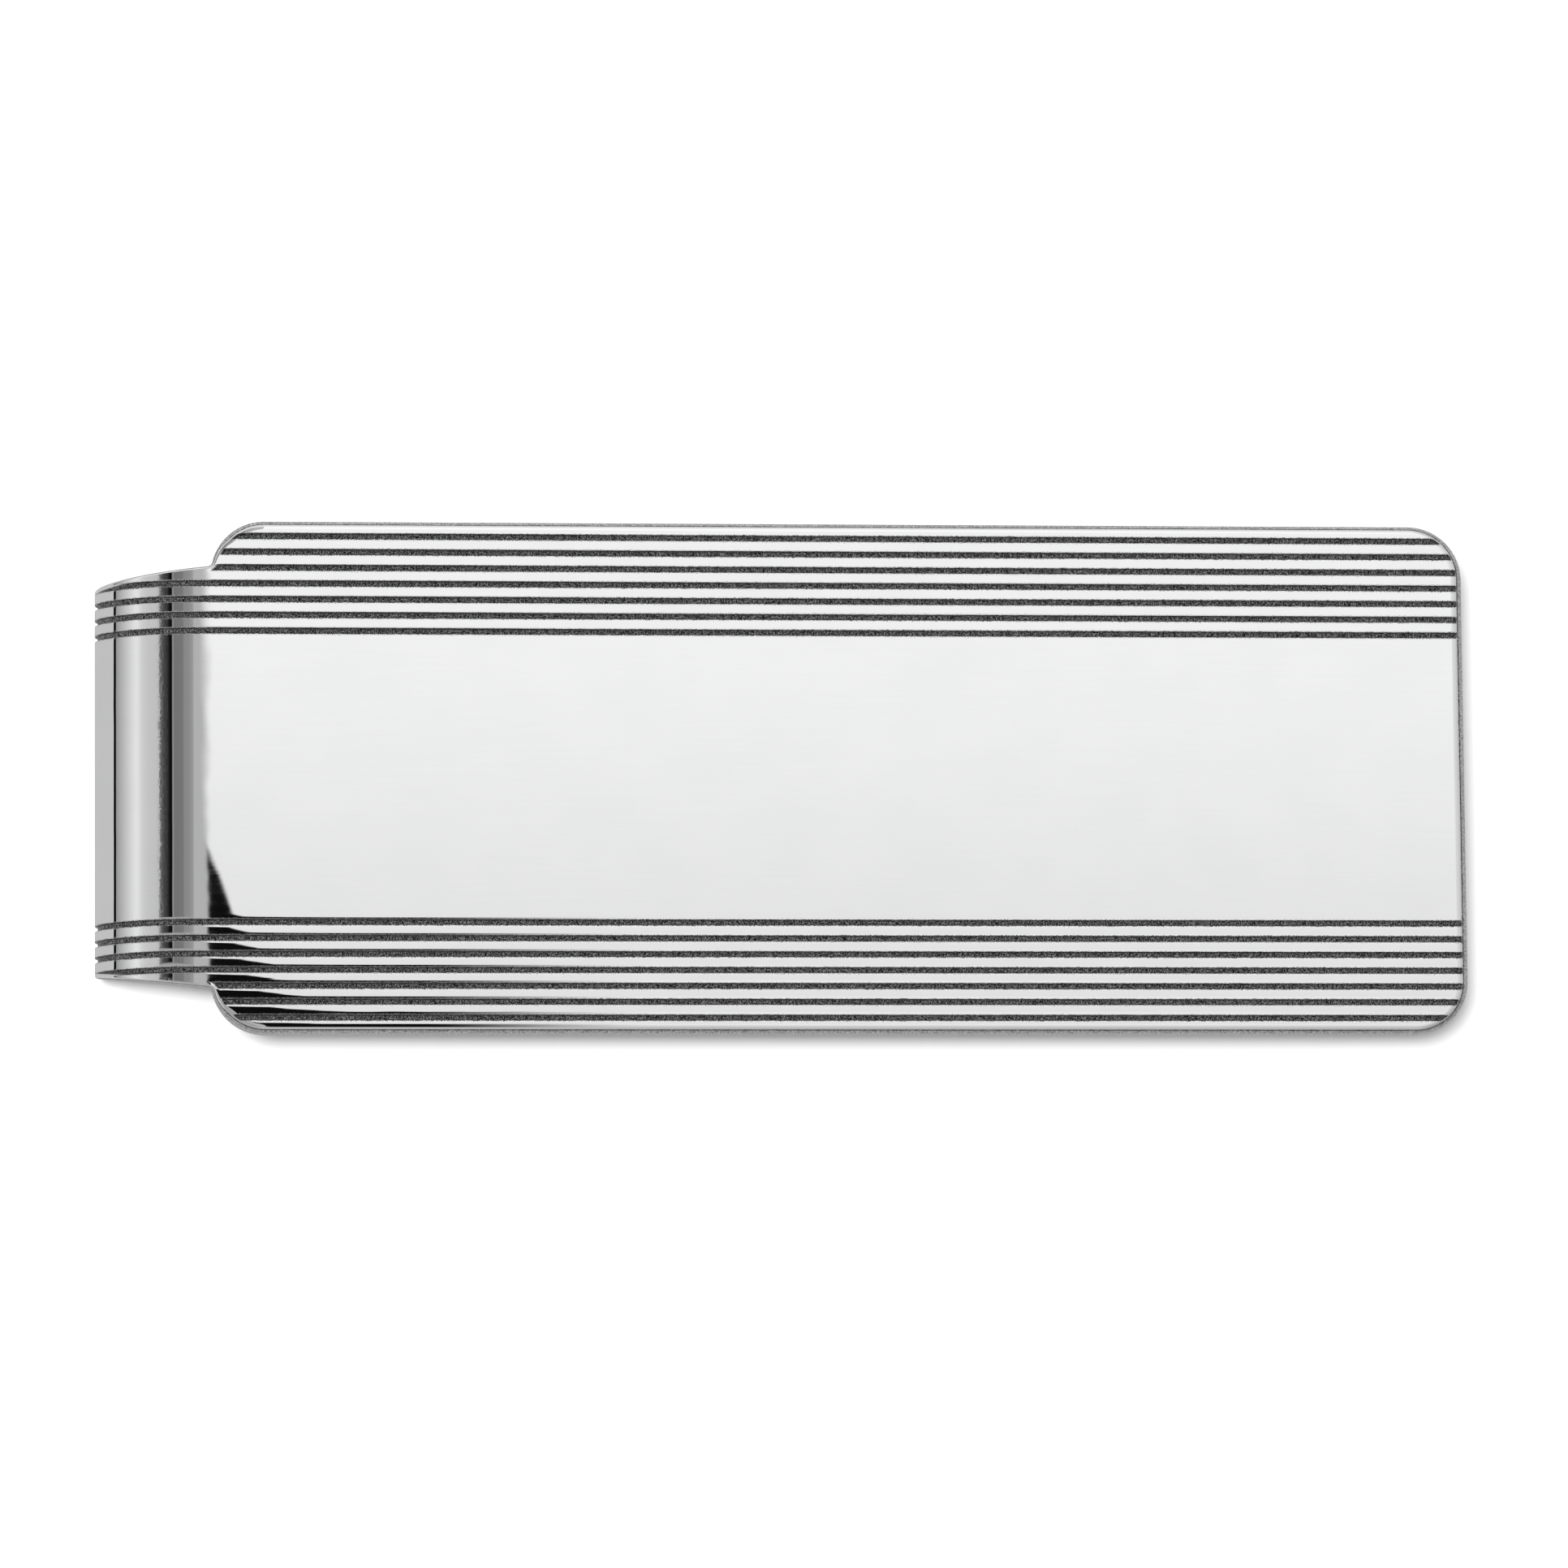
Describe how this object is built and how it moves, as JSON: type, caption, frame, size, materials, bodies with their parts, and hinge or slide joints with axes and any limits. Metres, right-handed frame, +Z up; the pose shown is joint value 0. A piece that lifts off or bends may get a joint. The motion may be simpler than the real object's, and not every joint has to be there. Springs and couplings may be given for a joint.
{
  "type": "money clip",
  "caption": "Fold-over spring clip in polished white metal: a grooved face plate whose narrower tongue folds back beneath it to grip banknotes.",
  "frame": {"origin": "centre of the resting plane, below the middle of the clip's length and width", "axes": "+X along the clip, away from the fold; +Y across the clip; +Z up, out of the face plate"},
  "size_m": [0.054, 0.0202, 0.0046],
  "materials": {
    "polished_metal": "mirror-polished white metal, rhodium-plated look, with fine hand-polishing marks, dark textured grooves and satin edges"
  },
  "bodies": {
    "rear_leaf": {"fold_lower": "polished_metal", "tongue_root": "polished_metal", "tongue_blade": "polished_metal", "tongue_lip": "polished_metal"},
    "front_leaf": {"face_plate": "polished_metal", "fold_shoulder": "polished_metal", "fold_upper": "polished_metal"}
  },
  "joints": [
    {"name": "fold_flex", "type": "hinge", "parent": "rear_leaf", "child": "front_leaf", "pos_m": [-0.027, 0, 0.00175], "axis": [0, -1, 0], "range_deg": [0, 8], "stiffness_Nm_per_rad": 6}
  ]
}
